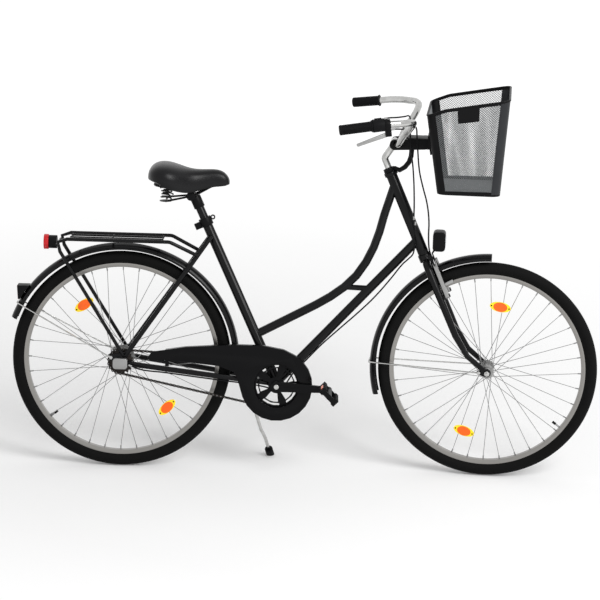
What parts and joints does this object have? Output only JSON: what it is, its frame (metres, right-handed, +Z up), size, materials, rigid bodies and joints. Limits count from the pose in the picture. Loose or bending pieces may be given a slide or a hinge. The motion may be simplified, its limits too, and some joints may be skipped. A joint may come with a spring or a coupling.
{
  "type": "dutch city bike",
  "caption": "Step-through city bicycle with swept-back handlebar, front mesh basket, rear carrier, mudguards, chain guard, sprung saddle and side stand",
  "frame": {"origin": "on the ground, below the middle of the bounding box of the bicycle as it stands", "axes": "+X points forwards, from the rear wheel to the front wheel; +Y points to the left side of the bicycle, which is the side of its stand; +Z points up"},
  "size_m": [1.8794, 0.6296, 1.2526],
  "materials": {
    "black_paint": "glossy black stove paint",
    "spring_paint": "black powder paint on spring wire",
    "tyre_rubber": "matt black tyre rubber with a fine tread",
    "soft_rubber": "matt black ribbed grip rubber",
    "rim_alloy": "polished light alloy",
    "spoke_steel": "bright stainless wire and hub",
    "bright_chrome": "bright chrome plate",
    "brushed_alloy": "satin light alloy",
    "chain_steel": "oiled brown chain steel",
    "black_plastic": "fine-grained black plastic",
    "saddle_vinyl": "black grained vinyl over foam",
    "basket_wire": "black coated steel mesh",
    "amber_plastic": "amber prismatic reflector plastic",
    "red_plastic": "red reflector and lamp plastic"
  },
  "bodies": {
    "frame": {"main_frame": "black_paint", "rear_stay_right": "black_paint", "rear_stay_left": "black_paint", "rear_axle": "bright_chrome", "hub_gear_box": "brushed_alloy", "headset_cup": "black_paint", "seat_clamp": "black_plastic", "rear_mudguard": "black_paint", "rear_mudguard_stay": "bright_chrome", "rear_reflector": "red_plastic", "carrier": "black_paint", "tail_lamp_body": "black_plastic", "tail_lamp_lens": "red_plastic", "chain_guard": "black_plastic", "chain": "chain_steel", "shift_cable_rear": "black_plastic"},
    "rear_wheel": {"rear_tyre": "tyre_rubber", "rear_rim": "rim_alloy", "rear_hub_spokes": "spoke_steel", "rear_wheel_reflector_1": "amber_plastic", "rear_wheel_reflector_2": "amber_plastic"},
    "steering": {"fork": "black_paint", "front_axle": "bright_chrome", "front_mudguard": "black_paint", "front_mudguard_stay": "bright_chrome", "stem": "bright_chrome", "handlebar": "bright_chrome", "grip_right": "soft_rubber", "grip_left": "soft_rubber", "brake_lever_bracket": "black_plastic", "front_lamp": "black_plastic", "basket": "basket_wire", "basket_bracket": "black_plastic", "brake_cable": "black_plastic", "shift_cable_front": "black_plastic"},
    "front_wheel": {"front_tyre": "tyre_rubber", "front_rim": "rim_alloy", "front_hub_spokes": "spoke_steel", "front_wheel_reflector_1": "amber_plastic", "front_wheel_reflector_2": "amber_plastic"},
    "cranks": {"crank_spindle": "bright_chrome", "chainring": "black_plastic", "crank_right": "black_plastic", "crank_left": "black_plastic"},
    "pedal_right": {"pedal_right": "black_plastic"},
    "pedal_left": {"pedal_left": "black_plastic"},
    "sprocket": {"rear_sprocket": "chain_steel"},
    "seat": {"seat_post": "black_paint", "saddle_clamp": "black_plastic", "saddle_rails": "spring_paint", "saddle_spring_right": "spring_paint", "saddle_spring_left": "spring_paint", "saddle_base": "black_plastic", "saddle_pad": "saddle_vinyl"},
    "kickstand": {"kickstand_leg": "bright_chrome", "kickstand_foot": "soft_rubber"},
    "brake_lever": {"brake_lever": "brushed_alloy"},
    "twist_shifter": {"twist_shifter": "soft_rubber"},
    "brake_arm_right": {"brake_arm_right": "brushed_alloy"},
    "brake_arm_left": {"brake_arm_left": "brushed_alloy"}
  },
  "joints": [
    {"name": "rear_wheel_spin", "type": "hinge", "parent": "frame", "child": "rear_wheel", "pos_m": [-0.58433, -0.07516, 0.35019], "axis": [0, 0.9962, -0.0872], "continuous": true},
    {"name": "steering_turn", "type": "hinge", "parent": "frame", "child": "steering", "pos_m": [0.54484, -0.07675, 0.33198], "axis": [-0.4077, 0.0796, 0.9096], "range_deg": [-40, 50]},
    {"name": "front_wheel_spin", "type": "hinge", "parent": "steering", "child": "front_wheel", "pos_m": [0.5885, -0.07922, 0.35177], "axis": [0.0796, 0.9955, -0.0514], "continuous": true},
    {"name": "crank_spin", "type": "hinge", "parent": "frame", "child": "cranks", "pos_m": [-0.08522, -0.0806, 0.28798], "axis": [0, 0.9962, -0.0872], "continuous": true},
    {"name": "pedal_right_spin", "type": "hinge", "parent": "cranks", "child": "pedal_right", "pos_m": [0.08268, -0.0811, 0.28232], "axis": [0, 0.9962, -0.0872], "continuous": true},
    {"name": "pedal_left_spin", "type": "hinge", "parent": "cranks", "child": "pedal_left", "pos_m": [-0.25313, -0.08011, 0.29363], "axis": [0, 0.9962, -0.0872], "continuous": true},
    {"name": "sprocket_spin", "type": "hinge", "parent": "frame", "child": "sprocket", "pos_m": [-0.58433, -0.07516, 0.35019], "axis": [0, 0.9962, -0.0872], "continuous": true},
    {"name": "seat_height", "type": "slide", "parent": "frame", "child": "seat", "axis": [-0.4205, 0.0791, 0.9039], "range_m": [-0.035, 0.07]},
    {"name": "kickstand_fold", "type": "hinge", "parent": "frame", "child": "kickstand", "pos_m": [-0.18421, -0.08201, 0.27193], "axis": [0, 0.9962, -0.0872], "range_deg": [0, 108]},
    {"name": "brake_lever_pull", "type": "hinge", "parent": "steering", "child": "brake_lever", "pos_m": [0.2373, -0.2816, 1.15464], "axis": [-0.1203, 0.9914, -0.0517], "range_deg": [0, 15], "stiffness_Nm_per_rad": 2, "springref_deg": -8.59},
    {"name": "brake_arm_right_close", "type": "hinge", "parent": "steering", "child": "brake_arm_right", "pos_m": [0.4275, -0.09935, 0.58808], "axis": [-0.9096, 0.0514, -0.4122], "range_deg": [0, 2.85]},
    {"name": "brake_arm_left_close", "type": "hinge", "parent": "steering", "child": "brake_arm_left", "pos_m": [0.43466, -0.00975, 0.58345], "axis": [0.9096, -0.0514, 0.4122], "range_deg": [0, 2.85]},
    {"name": "shifter_twist", "type": "hinge", "parent": "steering", "child": "twist_shifter", "pos_m": [0.22579, -0.2815, 1.18334], "axis": [-0.9831, -0.1262, -0.1326], "range_deg": [-40, 40]}
  ],
  "couplings": [
    {"joint": "sprocket_spin", "follows": "crank_spin", "ratio": 2},
    {"joint": "brake_arm_right_close", "follows": "brake_lever_pull", "ratio": 0.1867},
    {"joint": "brake_arm_left_close", "follows": "brake_lever_pull", "ratio": 0.1867}
  ]
}
